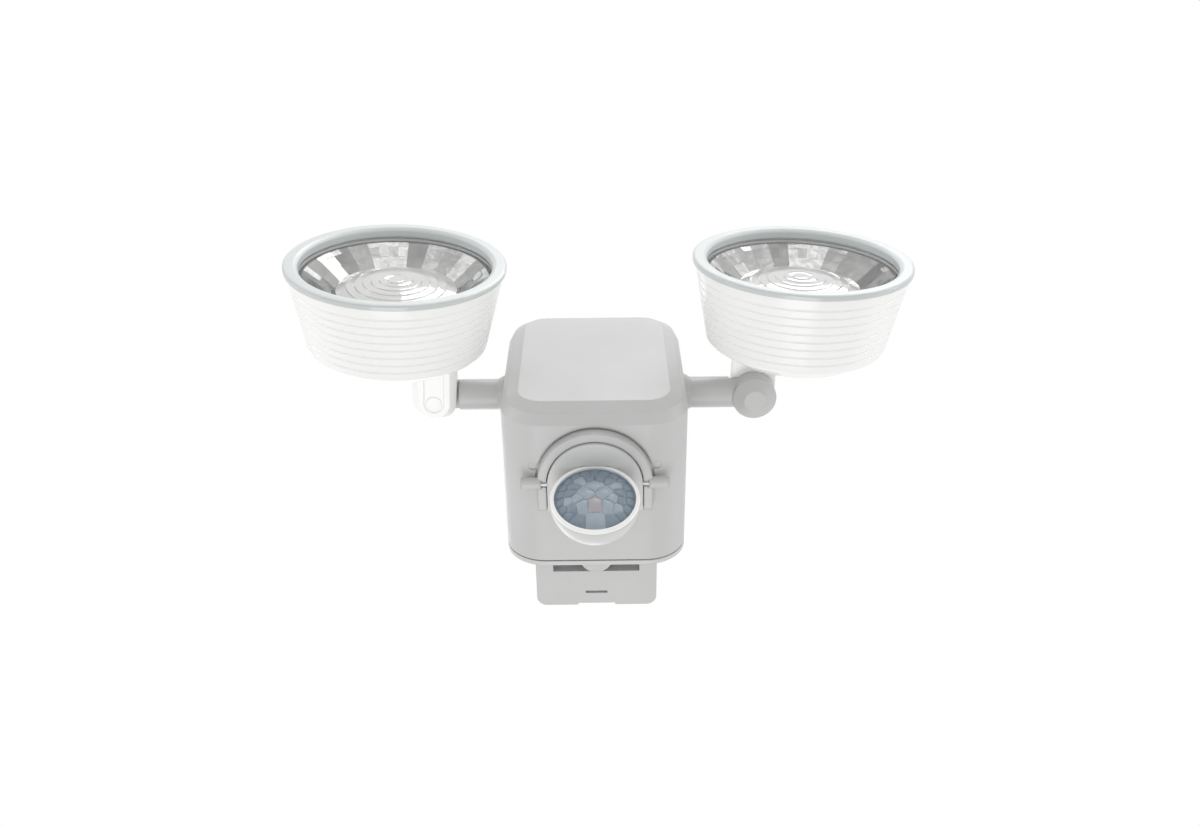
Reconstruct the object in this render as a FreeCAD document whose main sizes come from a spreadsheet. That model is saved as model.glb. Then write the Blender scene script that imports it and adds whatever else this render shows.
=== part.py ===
import FreeCAD, Part
import math
import os
import re
import Sketcher

# Twin-lamp motion sensor security light, battery type, on its wall bracket. Millimetres.
# Frame: the wall is the plane Y = 0, the front of the light faces -Y, +Z is up, and the
# origin is the middle of the bracket's back face. The sensor hangs under the case.

os.makedirs("parts", exist_ok=True)
doc = FreeCAD.newDocument("security_light")
sheet = doc.addObject("Spreadsheet::Sheet", "Sizes")

DRIVING_SIZES = [
    # case
    ("case_width", 75), ("case_height", 93), ("case_front", 101.5), ("case_back", 30.6),
    ("case_corner", 17), ("front_edge", 7.2), ("edge_inset", 2.4), ("edge_depth", 2.7),
    ("corner_step", 5), ("wall", 2.3), ("pillar_end", 3), ("post_radius", 3), ("boss_radius", 10),
    ("cover_back", 28), ("cover_plate", 2), ("spigot_depth", 4), ("seal_inset", 0.7),
    # wall bracket and its rail
    ("bracket_width", 51.4), ("bracket_height", 74), ("bracket_front", 27.6),
    ("bracket_wall", 2.4), ("bracket_plate", 3), ("bracket_corner", 4.4),
    ("bracket_rib", 3), ("bracket_hollow", 15.4),
    ("mount_spacing", 46), ("mount_hole", 2.3), ("driver_way", 4.3), ("mount_boss", 6),
    ("rail_neck", 14), ("rail_head", 22), ("rail_half", 24),
    ("recess_width", 36.6), ("recess_depth", 9.8), ("recess_height", 9),
    ("latch_radius", 6.8), ("latch_reach", 18.2), ("latch_half", 6.4), ("drain_half", 4.6),
    ("relief_half", 8),
    # batteries and board
    ("cell_radius", 13), ("cell_length", 49), ("cell_pitch", 27.2), ("tray_half", 27.7),
    ("tray_back", 30), ("tray_front", 88.5), ("cell_back", 37.4),
    ("board_width", 48), ("board_height", 62), ("board_back", 93.6), ("board_thick", 1.6),
    ("pillar_x", 27.8), ("pillar_z", 36.8), ("pillar_radius", 3.6), ("screw_thread", 1.45),
    ("board_post_x", 20), ("board_post_z", 27),
    # arms: one axis for both, along X
    ("arm_axis", 84), ("pivot_reach", 67.5), ("arm_radius", 6.6), ("arm_bore", 3.6),
    ("arm_inner", 28.4), ("boss_inner", 32.7), ("collar_radius", 8.4), ("collar_length", 3.2),
    ("lead_radius", 0.9), ("lead_end", 14.6),
    ("knuckle_radius", 9.2), ("knuckle_side", 7), ("knuckle_depth", 10.4),
    ("knuckle_tip", 4.7), ("lap_gap", 0.15), ("screw_radius", 2), ("lug_depth", 8.6),
    ("lug_bevel", 2.6),
    # lamp heads, along their own axis forward of the pivot
    ("head_offset", 15.6), ("head_back", 18.6), ("rim_front", 59.9), ("rim_radius", 44.4),
    ("shell_front", 57.6), ("shell_radius", 43.4), ("shell_small", 36.8),
    ("chamfer_top", 24.6), ("back_radius", 27), ("shell_wall", 2.2), ("groove_depth", 0.55),
    ("groove_pitch", 3.5), ("groove_start", 28.4),
    ("window_radius", 38.6), ("cover_spigot", 40.2), ("window_back", 55), ("window_thick", 1.2),
    ("sink_radius", 26.6), ("sink_step", 17), ("led_board_radius", 12),
    ("bowl_foot", 12.6), ("bowl_bend", 25), ("bowl_bend_height", 46.5), ("bowl_mouth", 37.6),
    ("bowl_thick", 1.2), ("lens_foot", 9.5), ("lens_radius", 24.4), ("lens_edge", 52.8),
    ("lens_bulge", 1.8), ("lens_well", 5.6),
    # sensor: pivot line along X under the case, and the lens centre below it
    ("sensor_pivot_back", 69.7), ("pivot_drop", 2.4), ("band_outer", 22.9), ("band_inner", 19.3),
    ("band_drop", 3.6), ("leg_length", 12.2), ("tub_rise", 12), ("tub_wall", 1.4),
    ("band_seat", 1), ("band_gap", 0.9), ("dimple_x", 24.6), ("dimple_forward", 6.2),
    ("dimple_radius", 1.9), ("dimple_depth", 1.2),
    ("barrel_radius", 2.4), ("barrel_end", 29.4), ("pin_radius", 1.5), ("pin_inner", 14),
    ("swing_radius", 18.95), ("base_rear", 11.8), ("base_top", 2.6), ("base_bottom", 2.2),
    ("cup_radius", 17.4), ("cup_wall", 1.7), ("cup_forward", 3.5), ("cup_drop", 17.6),
    ("cup_rim", -0.1), ("ring_thick", 1.1), ("ring_inner", 15.7), ("fresnel_bulge", 4),
    # angles in degrees: each lamp leaned out and tipped up, and the sensor's view down
    ("left_lean", -3.9), ("left_tip", 0), ("right_lean", 1.8), ("right_tip", 2.8),
    ("lens_down", 15.6),
]
GROOVES = 8

for row, (alias, number) in enumerate(DRIVING_SIZES, 1):
    sheet.set("A%d" % row, alias)
    sheet.set("B%d" % row, str(number))
    sheet.setAlias("B%d" % row, alias)
doc.recompute()
ALIASES = {alias for alias, number in DRIVING_SIZES}

V = FreeCAD.Vector
ALONG_X = FreeCAD.Rotation(V(0, 1, 0), 90)
ALONG_Y = FreeCAD.Rotation(V(1, 0, 0), -90)
TO_FRONT = FreeCAD.Rotation(V(1, 0, 0), 90)


def linked(text):
    """A formula over the sheet's names, as an expression."""
    def link(word):
        return "Sizes." + word.group(0) if word.group(0) in ALIASES else word.group(0)
    return re.sub(r"[a-z_]+", link, str(text))


def value(text):
    return float(sheet.evalExpression(linked(text)))


# ---- Part primitives and booleans ----------------------------------------------------------

def place(item, at, turn=None):
    if turn is not None:
        item.Placement = FreeCAD.Placement(V(), turn)
    for axis, text in zip("xyz", at):
        item.setExpression("Placement.Base." + axis, linked(text))


def solid(kind, name, at=(0, 0, 0), turn=None, **sizes):
    item = doc.addObject("Part::" + kind, name)
    for prop, text in sizes.items():
        item.setExpression(prop, linked(text))
    place(item, at, turn)
    return item


def rod(name, radius, length, at, turn=None):
    return solid("Cylinder", name, at, turn, Radius=radius, Height=length)


def block(name, x, y, z):
    """A box between pairs of formulas along X, Y and Z."""
    low = ["(%s)" % pair[0] for pair in (x, y, z)]
    high = ["(%s)" % pair[1] for pair in (x, y, z)]
    spans = ["%s - %s" % pair for pair in zip(high, low)]
    return solid("Box", name, low, None, Length=spans[0], Width=spans[1], Height=spans[2])


def join(name, items):
    result = doc.addObject("Part::MultiFuse", name)
    result.Shapes = items
    result.Refine = True
    return result


def cut(name, base, tools):
    tool = tools[0] if len(tools) == 1 else join(name + "_tools", tools)
    result = doc.addObject("Part::Cut", name)
    result.Base = base
    result.Tool = tool
    return result


def overlap(name, first, second):
    result = doc.addObject("Part::Common", name)
    result.Base = first
    result.Tool = second
    return result


def group(name, items):
    """Separate solids of one kind, kept as one piece."""
    result = doc.addObject("Part::Compound", name)
    result.Links = items
    return result


# ---- PartDesign bodies ----------------------------------------------------------------------

def new_body(name):
    return doc.addObject("PartDesign::Body", name)


def new_sketch(body, name, role, offset="0"):
    sketch = body.newObject("Sketcher::SketchObject", name)
    plane = next(item for item in body.Origin.OriginFeatures if item.Role == role)
    sketch.AttachmentSupport = [(plane, "")]
    sketch.MapMode = "FlatFace"
    sketch.setExpression("AttachmentOffset.Base.z", linked(offset))
    return sketch


def tie(sketch, geometry, point, text, direction):
    """Hold one point of the sketch at a formula's distance from the origin."""
    distance = value(text)
    if abs(distance) < 1e-9:
        axis = -2 if direction == "DistanceX" else -1
        sketch.addConstraint(Sketcher.Constraint("PointOnObject", geometry, point, axis))
        return
    if distance > 0:
        limit = Sketcher.Constraint(direction, -1, 1, geometry, point, distance)
    else:
        limit = Sketcher.Constraint(direction, geometry, point, -1, 1, -distance)
        text = "-(%s)" % text
    index = sketch.addConstraint(limit)
    sketch.setExpression("Constraints[%d]" % index, linked(text))


def outline(body, name, role, points, offset="0"):
    """A closed outline of straight lines through points given as pairs of formulas."""
    sketch = new_sketch(body, name, role, offset)
    corners = [V(value(x), value(y), 0) for x, y in points]
    last = len(points)
    for start, end in zip(corners, corners[1:] + corners[:1]):
        sketch.addGeometry(Part.LineSegment(start, end))
    for index in range(last):
        joint = Sketcher.Constraint("Coincident", index, 2, (index + 1) % last, 1)
        sketch.addConstraint(joint)
    for index, (x, y) in enumerate(points):
        tie(sketch, index, 1, x, "DistanceX")
        tie(sketch, index, 1, y, "DistanceY")
    return sketch


def circles(body, name, role, spots, radius, offset="0"):
    sketch = new_sketch(body, name, role, offset)
    for index, (x, y) in enumerate(spots):
        centre = V(value(x), value(y), 0)
        sketch.addGeometry(Part.Circle(centre, V(0, 0, 1), value(radius)))
        tie(sketch, index, 3, x, "DistanceX")
        tie(sketch, index, 3, y, "DistanceY")
        limit = sketch.addConstraint(Sketcher.Constraint("Radius", index, value(radius)))
        sketch.setExpression("Constraints[%d]" % limit, linked(radius))
    return sketch


def rectangle(body, name, role, x, y, offset="0"):
    points = [(x[0], y[0]), (x[1], y[0]), (x[1], y[1]), (x[0], y[1])]
    return outline(body, name, role, points, offset)


def rounded(body, name, half_x, half_z, radius, offset="0"):
    """A rectangle with round corners about the origin of the XZ plane, from formulas."""
    sketch = new_sketch(body, name, "XZ_Plane", offset)
    inner_x = "(%s - (%s))" % (half_x, radius)
    inner_z = "(%s - (%s))" % (half_z, radius)
    sides = [
        (("-" + inner_x, "-(%s)" % half_z), (inner_x, "-(%s)" % half_z)),
        ((half_x, "-" + inner_z), (half_x, inner_z)),
        ((inner_x, half_z), ("-" + inner_x, half_z)),
        (("-(%s)" % half_x, inner_z), ("-(%s)" % half_x, "-" + inner_z)),
    ]
    middles = [(1, -1), (1, 1), (-1, 1), (-1, -1)]
    quarter = math.pi / 2
    for index, (start, end) in enumerate(sides):
        ends = [V(value(x), value(y), 0) for x, y in (start, end)]
        sketch.addGeometry(Part.LineSegment(*ends))
        sx, sz = middles[index]
        centre = V(sx * value(inner_x), sz * value(inner_z), 0)
        arc = Part.ArcOfCircle(Part.Circle(centre, V(0, 0, 1), value(radius)),
                               (index - 1) * quarter, index * quarter)
        sketch.addGeometry(arc)
    for index, (start, end) in enumerate(sides):
        line = 2 * index
        after = (line + 2) % 8
        sketch.addConstraint(Sketcher.Constraint("Coincident", line, 2, line + 1, 1))
        sketch.addConstraint(Sketcher.Constraint("Coincident", line + 1, 2, after, 1))
        for point, (x, y) in ((1, start), (2, end)):
            tie(sketch, line, point, x, "DistanceX")
            tie(sketch, line, point, y, "DistanceY")
        limit = sketch.addConstraint(Sketcher.Constraint("Radius", line + 1, value(radius)))
        sketch.setExpression("Constraints[%d]" % limit, linked(radius))
    return sketch


def u_plan(body, name, radius, rear, offset):
    """A half circle towards the front about the sensor pivot, with straight sides behind."""
    sketch = new_sketch(body, name, "XY_Plane", offset)
    across = value(radius)
    middle = -value("sensor_pivot_back")
    back = middle + value(rear)
    front = Part.Circle(V(0, middle, 0), V(0, 0, 1), across)
    sketch.addGeometry(Part.ArcOfCircle(front, math.pi, 2 * math.pi))
    sketch.addGeometry(Part.LineSegment(V(across, middle, 0), V(across, back, 0)))
    sketch.addGeometry(Part.LineSegment(V(across, back, 0), V(-across, back, 0)))
    sketch.addGeometry(Part.LineSegment(V(-across, back, 0), V(-across, middle, 0)))
    rear_line = "(%s - sensor_pivot_back)" % rear
    left = "-(%s)" % radius
    corners = [(0, 2, radius, "-sensor_pivot_back"), (1, 2, radius, rear_line),
               (2, 2, left, rear_line), (3, 2, left, "-sensor_pivot_back")]
    for index, (line, point, x, y) in enumerate(corners):
        follower = Sketcher.Constraint("Coincident", line, point, (index + 1) % 4, 1)
        sketch.addConstraint(follower)
        tie(sketch, line, point, x, "DistanceX")
        tie(sketch, line, point, y, "DistanceY")
    tie(sketch, 0, 3, "-sensor_pivot_back", "DistanceY")
    return sketch


def checked(feature):
    """Work the feature out and make sure that it is a valid solid."""
    doc.recompute()
    if feature.Shape.isNull() or not feature.Shape.isValid():
        raise ValueError("%s has no valid solid" % feature.Name)
    return feature


def pad(body, name, sketch, length, backward=False, taper="0"):
    feature = body.newObject("PartDesign::Pad", name)
    feature.Profile = sketch
    feature.Reversed = backward
    feature.setExpression("Length", linked(length))
    feature.setExpression("TaperAngle", linked(taper))
    return checked(feature)


def pocket(body, name, sketch, length=None, backward=False, both=False):
    """A pocket; with no length it goes right through, and it has to take something away."""
    before = body.Tip.Shape.Volume
    feature = body.newObject("PartDesign::Pocket", name)
    feature.Profile = sketch
    feature.Reversed = backward
    feature.Midplane = both
    if length is None:
        feature.Type = "ThroughAll"
    else:
        feature.setExpression("Length", linked(length))
    checked(feature)
    if feature.Shape.Volume > before - 0.01:
        raise ValueError("the pocket %s takes nothing away" % name)
    return feature


def turned(name, points, role="XZ_Plane"):
    """A body turned about Z; points are pairs of formulas for radius and height."""
    body = new_body(name)
    sketch = outline(body, name + "_outline", role, points)
    feature = body.newObject("PartDesign::Revolution", name + "_turned")
    feature.Profile = sketch
    feature.ReferenceAxis = (sketch, ["V_Axis"])
    feature.Angle = 360
    doc.recompute()
    return body


def soften(body, name, feature, radius, chosen):
    """Round the edges of a feature that a test on their box picks out."""
    picked = ["Edge%d" % number for number, edge in enumerate(feature.Shape.Edges, 1)
              if chosen(edge.BoundBox)]
    dressed = body.newObject("PartDesign::Fillet", name)
    dressed.Base = (feature, picked)
    dressed.setExpression("Radius", linked(radius))
    return checked(dressed)


# ---- Finished pieces ------------------------------------------------------------------------

pieces = []


def finish(item, label, frame=None):
    item.Label = label
    if frame is not None:
        item.Placement = frame
    pieces.append((item, label))
    return item


def arm_frame(side):
    """At the knuckle pivot: X outward, Y to the wall, and for the left arm turned over."""
    tip = value(side + "_tip")
    over = 0 if side == "right" else 180
    axis = FreeCAD.Placement(V(0, -value("arm_axis"), 0), FreeCAD.Rotation(V(1, 0, 0), -tip))
    turn = FreeCAD.Placement(V(), FreeCAD.Rotation(V(0, 1, 0), over))
    return axis * turn * FreeCAD.Placement(V(value("pivot_reach"), 0, 0), FreeCAD.Rotation())


def lamp_frame(side):
    """On the lamp's own axis level with the pivot, Z forward, leaned about the knuckle."""
    lean = value(side + "_lean")
    leaned = FreeCAD.Placement(V(), FreeCAD.Rotation(V(0, 0, 1), lean))
    return arm_frame(side) * leaned * FreeCAD.Placement(V(value("head_offset"), 0, 0), TO_FRONT)


def sensor_frame():
    """At the centre of the sensor cup, Z along the view of the lens, down from forward."""
    centre = V(0, -value("sensor_pivot_back + cup_forward"),
               -value("case_height / 2 + pivot_drop + cup_drop"))
    return FreeCAD.Placement(centre, FreeCAD.Rotation(V(1, 0, 0), 90 + value("lens_down")))


# ---- Case -----------------------------------------------------------------------------------

CORNERS = [(sx, sz) for sx in (-1, 1) for sz in (-1, 1)]


def spots(x, z):
    return [("%d * %s" % (sx, x), "%d * %s" % (sz, z)) for sx, sz in CORNERS]


def front_housing():
    """The case: a deep shell open at the back, with the bores for the arms in its sides."""
    body = new_body("housing")
    sketch = rounded(body, "housing_plan", "case_width / 2", "case_height / 2", "case_corner",
                     "case_back")
    pad(body, "housing_block", sketch, "case_front - case_back - front_edge")
    sketch = rounded(body, "side_facet_plan", "case_width / 2", "case_height / 2",
                     "case_corner", "case_front - front_edge")
    pad(body, "side_facet", sketch, "front_edge - edge_depth", False,
        "-atan(edge_inset / (front_edge - edge_depth))")
    sketch = rounded(body, "front_facet_plan", "case_width / 2 - edge_inset",
                     "case_height / 2 - edge_inset", "case_corner - edge_inset",
                     "case_front - edge_depth")
    pad(body, "front_facet", sketch, "edge_depth", False,
        "-atan((front_edge - edge_inset) / edge_depth)")
    sketch = rounded(body, "housing_inside", "case_width / 2 - wall", "case_height / 2 - wall",
                     "case_corner - wall", "case_back")
    pocket(body, "housing_hollow", sketch, "case_front - case_back - wall - corner_step", True)
    sketch = rounded(body, "housing_floor", "case_width / 2 - wall - corner_step",
                     "case_height / 2 - wall - corner_step", "case_corner - wall - corner_step",
                     "case_back")
    pocket(body, "housing_depth", sketch, "case_front - case_back - wall", True)
    sketch = circles(body, "pillar_plan", "XZ_Plane", spots("pillar_x", "pillar_z"),
                     "pillar_radius", "case_back + spigot_depth + 0.2")
    pad(body, "pillars", sketch, "case_front - wall - case_back - spigot_depth - pillar_end")
    sketch = circles(body, "post_plan", "XZ_Plane", spots("board_post_x", "board_post_z"),
                     "post_radius", "board_back + board_thick")
    pad(body, "board_posts", sketch, "case_front - wall - board_back - board_thick + 0.5")
    for side, sign in (("right", 1), ("left", -1)):
        sketch = circles(body, side + "_boss_plan", "YZ_Plane", [("-arm_axis", "0")],
                         "boss_radius", "%d * (case_width / 2 - wall + 0.5)" % sign)
        pad(body, side + "_boss", sketch, "case_width / 2 - wall + 0.5 - boss_inner", sign > 0)
    sketch = circles(body, "arm_bore_plan", "YZ_Plane", [("-arm_axis", "0")], "arm_radius + 0.1")
    pocket(body, "arm_bores", sketch, None, False, True)
    sketch = u_plan(body, "sensor_hole_plan", "band_inner + tub_wall",
                    "base_rear + 1 + tub_wall", "-case_height / 2 - 1")
    pocket(body, "sensor_hole", sketch, "wall + 3", True)
    sketch = u_plan(body, "band_seat_plan", "band_outer + band_gap", "0.5",
                    "-case_height / 2 - 1")
    pocket(body, "band_seat", sketch, "band_seat + 1", True)
    ends = [("%d * dimple_x" % sign, "-sensor_pivot_back - dimple_forward") for sign in (-1, 1)]
    sketch = circles(body, "dimple_plan", "XY_Plane", ends, "dimple_radius",
                     "-case_height / 2 - 1")
    pocket(body, "dimples", sketch, "dimple_depth + 1", True)
    sketch = circles(body, "pillar_hole_plan", "XZ_Plane", spots("pillar_x", "pillar_z"),
                     "screw_thread", "case_back")
    pocket(body, "pillar_holes", sketch, "22", True)
    sketch = circles(body, "post_hole_plan", "XZ_Plane", spots("board_post_x", "board_post_z"),
                     "screw_thread", "case_back")
    pocket(body, "post_holes", sketch, "case_front - case_back - wall - 0.2", True)
    return finish(body, "front_housing")


def rear_cover():
    """The back plate with its spigot, and the rail that slides into the wall bracket."""
    body = new_body("cover")
    sketch = rounded(body, "cover_plan", "case_width / 2", "case_height / 2", "case_corner",
                     "cover_back")
    pad(body, "cover_block", sketch, "cover_plate")
    sketch = rounded(body, "spigot_plan", "case_width / 2 - wall - 0.2",
                     "case_height / 2 - wall - 0.2", "case_corner - wall - 0.2",
                     "cover_back + cover_plate")
    pad(body, "spigot", sketch, "case_back + spigot_depth - cover_back - cover_plate")
    rim_x = "(case_width / 2 - wall - 2)"
    rim_z = "(case_height / 2 - wall - 8)"
    sketch = rectangle(body, "spigot_hollow_plan", "XZ_Plane", ("-" + rim_x, rim_x),
                       ("-" + rim_z, rim_z), "cover_back + cover_plate")
    pocket(body, "spigot_hollow", sketch, "20", True)
    sketch = rectangle(body, "rail_neck_plan", "XZ_Plane", ("-rail_neck / 2", "rail_neck / 2"),
                       ("-rail_half", "rail_half"), "cover_back - 3.6")
    pad(body, "rail_neck_block", sketch, "3.7")
    sketch = rectangle(body, "rail_head_plan", "XZ_Plane", ("-rail_head / 2", "rail_head / 2"),
                       ("-rail_half", "rail_half"), "cover_back - 6.6")
    pad(body, "rail_head_block", sketch, "3")
    sketch = circles(body, "cover_hole_plan", "XZ_Plane", spots("pillar_x", "pillar_z"),
                     "screw_thread + 0.15", "cover_back - 1")
    pocket(body, "cover_holes", sketch, "20", True)
    sketch = circles(body, "screw_seat_plan", "XZ_Plane", spots("pillar_x", "pillar_z"),
                     "3.1", "cover_back - 1")
    pocket(body, "screw_seats", sketch, "3.2", True)
    return finish(body, "rear_cover")


def cover_gasket():
    """The flat rubber frame between the case and its cover, set in a little from the outside."""
    body = new_body("gasket")
    sketch = rounded(body, "gasket_plan", "case_width / 2 - seal_inset",
                     "case_height / 2 - seal_inset", "case_corner - seal_inset",
                     "cover_back + cover_plate")
    pad(body, "gasket_sheet", sketch, "case_back - cover_back - cover_plate")
    sketch = rounded(body, "gasket_inside", "case_width / 2 - wall", "case_height / 2 - wall",
                     "case_corner - wall", "cover_back + cover_plate")
    pocket(body, "gasket_opening", sketch, "5", True)
    return finish(body, "cover_gasket")


def screws(name, places, y, head_radius, head, thread, length):
    """Screws along Y with their heads towards the wall, joined as one group."""
    made = []
    for number, (x, z) in enumerate(places, 1):
        stem = "%s_%d" % (name, number)
        top = rod(stem + "_head", head_radius, head, (x, "-(%s) - (%s)" % (y, head), z), ALONG_Y)
        shank = rod(stem + "_shank", thread, length,
                    (x, "-(%s) - (%s) - (%s)" % (y, head, length), z), ALONG_Y)
        slot = block(stem + "_slot", ("%s - 0.4" % x, "%s + 0.4" % x),
                     ("-(%s) - 0.8" % y, "-(%s) + 1" % y), ("%s - 2" % z, "%s + 2" % z))
        cross = block(stem + "_cross", ("%s - 2" % x, "%s + 2" % x),
                      ("-(%s) - 0.8" % y, "-(%s) + 1" % y), ("%s - 0.4" % z, "%s + 0.4" % z))
        made.append(cut(stem, join(stem + "_body", [top, shank]), [slot, cross]))
    return finish(group(name, made), name)


def wall_bracket():
    """The block screwed to the wall, hollow at the back, with the slot that takes the rail."""
    body = new_body("bracket")
    half_x = "bracket_width / 2"
    half_z = "bracket_height / 2"
    sketch = rectangle(body, "bracket_plan", "XZ_Plane", ("-" + half_x, half_x),
                       ("-" + half_z, half_z))
    base = pad(body, "bracket_block", sketch, "bracket_front")
    tall = value("bracket_height")
    base = soften(body, "bracket_wall_edges", base, "bracket_corner",
                  lambda box: box.YMin > -0.01 and (box.ZLength > tall - 1))
    inner_x = "(bracket_width / 2 - bracket_wall)"
    inner_z = "(bracket_height / 2 - bracket_wall)"
    for name, sign in (("upper", 1), ("lower", -1)):
        near = "%d * bracket_rib" % sign
        far = "%d * %s" % (sign, inner_z)
        sketch = rectangle(body, name + "_chamber_plan", "XZ_Plane", ("-" + inner_x, inner_x),
                           (near, far), "-1")
        pocket(body, name + "_chamber", sketch, "bracket_hollow + 1", True)
    holes = [("0", "mount_spacing / 2"), ("0", "-mount_spacing / 2")]
    sketch = circles(body, "mount_boss_plan", "XZ_Plane", holes, "mount_boss")
    pad(body, "mount_bosses", sketch, "bracket_hollow + 0.5")
    neck = "(rail_neck / 2 + 0.15)"
    head = "(rail_head / 2 + 0.15)"
    sketch = rectangle(body, "neck_slot_plan", "XZ_Plane", ("-" + neck, neck),
                       ("-rail_half - 0.2", half_z + " + 1"), "bracket_front - 4")
    pocket(body, "neck_slot", sketch, "6", True)
    sketch = rectangle(body, "head_slot_plan", "XZ_Plane", ("-" + head, head),
                       ("-rail_half - 0.2", half_z + " + 1"), "bracket_front - 6.5")
    pocket(body, "head_slot", sketch, "3.5", True)
    sketch = rectangle(body, "recess_plan", "XZ_Plane", ("-recess_width / 2", "recess_width / 2"),
                       ("-bracket_height / 2 - 1", "recess_height - bracket_height / 2"),
                       "bracket_front - recess_depth")
    pocket(body, "recess", sketch, "recess_depth + 1", True)
    sketch = circles(body, "mount_hole_plan", "XZ_Plane", holes, "mount_hole", "-1")
    pocket(body, "mount_holes", sketch, "bracket_plate + 2", True)
    sketch = circles(body, "driver_way_plan", "XZ_Plane", holes, "driver_way",
                     "bracket_plate")
    pocket(body, "driver_ways", sketch, "bracket_front", True)
    sketch = rectangle(body, "drain_plan", "XY_Plane", ("-drain_half", "drain_half"),
                       ("-7.4", "-6.2"),
                       "-bracket_height / 2 - 1")
    pocket(body, "drain_slot", sketch, "bracket_wall + 2", True)
    sketch = rectangle(body, "relief_plan", "XY_Plane", ("-relief_half", "relief_half"),
                       ("-0.9", "1"),
                       "-bracket_height / 2 - 1")
    pocket(body, "wall_relief", sketch, "6", True)
    return finish(body, "wall_bracket")


def release_latch():
    """The half-round thumb tab under the cover; pressed up, it lets the light off its bracket."""
    back = "-(cover_back - 0.1)"
    low = "-(bracket_height / 2 + 1.2)"
    top = "-(bracket_height / 2 - 6.6)"
    tab = rod("latch_round", "latch_radius", "2.4", (0, "-latch_reach - latch_radius", low))
    keep = block("latch_side", ("-latch_radius", "latch_radius"), (back, "-latch_reach"),
                 ("%s - 1" % low, "0"))
    slab = block("latch_slab", ("-latch_half", "latch_half"), (back, "-25.8"),
                 ("%s + 1" % low, top))
    return finish(overlap("latch", join("latch_whole", [tab, slab]), keep), "release_latch")


# ---- Batteries and board --------------------------------------------------------------------

def cell_spots():
    return [("%d * cell_pitch / 2" % sx, "%d * cell_pitch / 2" % sz) for sx, sz in CORNERS]


def battery_tray():
    body = new_body("tray")
    sketch = rectangle(body, "tray_plan", "XZ_Plane", ("-tray_half", "tray_half"),
                       ("-tray_half", "tray_half"), "tray_back")
    pad(body, "tray_block", sketch, "tray_front - tray_back")
    sketch = circles(body, "tray_bore_plan", "XZ_Plane", cell_spots(), "cell_radius + 0.2",
                     "tray_back")
    pocket(body, "tray_bores", sketch, "tray_front - tray_back - 1.4", True)
    for number, (sx, sz) in enumerate(CORNERS, 1):
        sketch = rectangle(body, "foot_plan_%d" % number, "XZ_Plane",
                           ("%d * (tray_half - 2.4)" % sx, "%d * tray_half" % sx),
                           ("%d * 17" % sz, "%d * tray_half" % sz), "tray_front - 0.5")
        pad(body, "foot_%d" % number, sketch, "case_front - wall - tray_front + 0.5")
    return finish(body, "battery_tray")


def battery_cells():
    """Four C cells side by side, lying front to back, nubs to the front."""
    made = []
    for number, (x, z) in enumerate(cell_spots(), 1):
        can = rod("cell_can_%d" % number, "cell_radius", "cell_length - 1.6",
                  (x, "-cell_back - cell_length + 1.6", z), ALONG_Y)
        nub = rod("cell_nub_%d" % number, "3.4", "1.7",
                  (x, "-cell_back - cell_length", z), ALONG_Y)
        made.append(join("cell_%d" % number, [can, nub]))
    return finish(group("cells", made), "battery_cells")


def contact_springs():
    """Conical spring contacts between the cover and the flat ends of the cells."""
    made = []
    for number, (x, z) in enumerate(cell_spots(), 1):
        at = (x, "-cell_back", z)
        deep = "cell_back - case_back + 0.6"
        outer = solid("Cone", "spring_out_%d" % number, at, ALONG_Y,
                      Radius1="4", Radius2="7", Height=deep)
        inner = solid("Cone", "spring_in_%d" % number, at, ALONG_Y,
                      Radius1="3.2", Radius2="6.2", Height=deep)
        made.append(cut("spring_%d" % number, outer, [inner]))
    return finish(group("springs", made), "contact_springs")


def contact_plates():
    made = []
    for number, (x, z) in enumerate(cell_spots(), 1):
        made.append(block("plate_%d" % number, ("%s - 5" % x, "%s + 5" % x),
                          ("-tray_front + 1.4", "-cell_back - cell_length"),
                          ("%s - 5" % z, "%s + 5" % z)))
    return finish(group("plates", made), "contact_plates")


def main_board():
    body = new_body("board")
    sketch = rectangle(body, "board_plan", "XZ_Plane", ("-board_width / 2", "board_width / 2"),
                       ("-board_height / 2", "board_height / 2"), "board_back")
    pad(body, "board_sheet", sketch, "board_thick")
    sketch = circles(body, "board_hole_plan", "XZ_Plane", spots("board_post_x", "board_post_z"),
                     "screw_thread + 0.1", "board_back - 1")
    pocket(body, "board_holes", sketch, "5", True)
    return finish(body, "main_board")


def board_components():
    """Inductor, two capacitors, driver chip and two plugs on the back of the main board."""
    face = "-board_back"
    made = [
        rod("inductor", "5", "3.6", ("-8", face, "16"), ALONG_Y),
        rod("capacitor_one", "2.6", "3.8", ("8", face, "18"), ALONG_Y),
        rod("capacitor_two", "2.6", "3.8", ("8", face, "10"), ALONG_Y),
        block("driver_chip", ("-9", "-3"), (face, "-board_back + 1.6"), ("-4", "4")),
        block("lamp_plug", ("6", "14"), (face, "-board_back + 3.6"), ("-6", "-1")),
        block("sensor_plug", ("-4", "4"), (face, "-board_back + 3.6"), ("-28", "-23")),
    ]
    return finish(group("components", made), "board_components")


# ---- Arms and lamps -------------------------------------------------------------------------

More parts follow.
